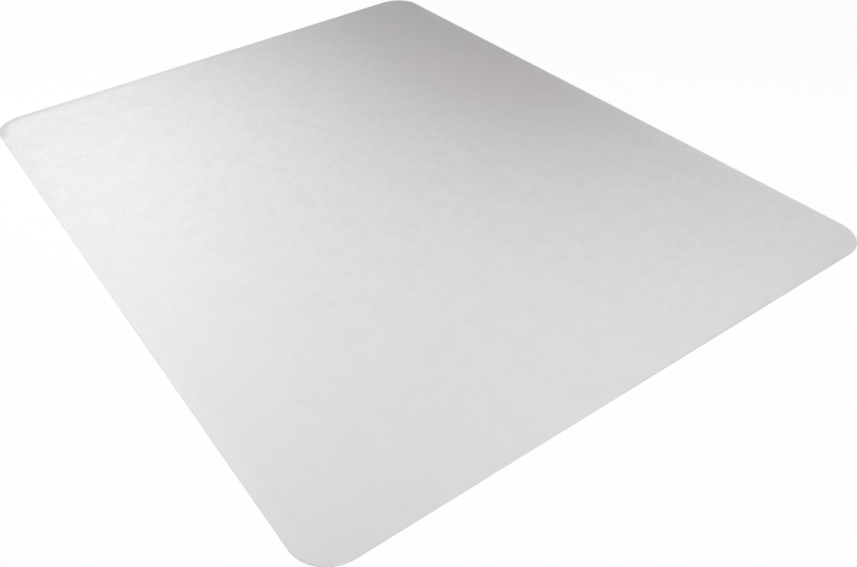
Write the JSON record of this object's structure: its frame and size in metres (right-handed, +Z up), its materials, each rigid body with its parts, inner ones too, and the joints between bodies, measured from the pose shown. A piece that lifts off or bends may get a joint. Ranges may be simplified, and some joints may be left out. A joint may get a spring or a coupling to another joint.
{
  "type": "chair mat",
  "caption": "Rectangular hard-floor chair mat: a rigid frosted clear sheet with rounded corners and a sloped border, laminated onto a clear anti-slip film.",
  "frame": {"origin": "on the floor, under the middle of the mat", "axes": "+X across the mat (its shorter side), +Y along its depth from the front edge to the back edge (its longer side), +Z up"},
  "size_m": [1.168, 1.524, 0.0023],
  "materials": {
    "frosted_sheet": "frosted translucent polycarbonate, fine satin grain on top, almost colourless",
    "clear_film": "clear soft anti-slip film, smooth and slightly tacky"
  },
  "bodies": {
    "root": {"wear_sheet": "frosted_sheet", "grip_film": "clear_film"}
  },
  "joints": []
}
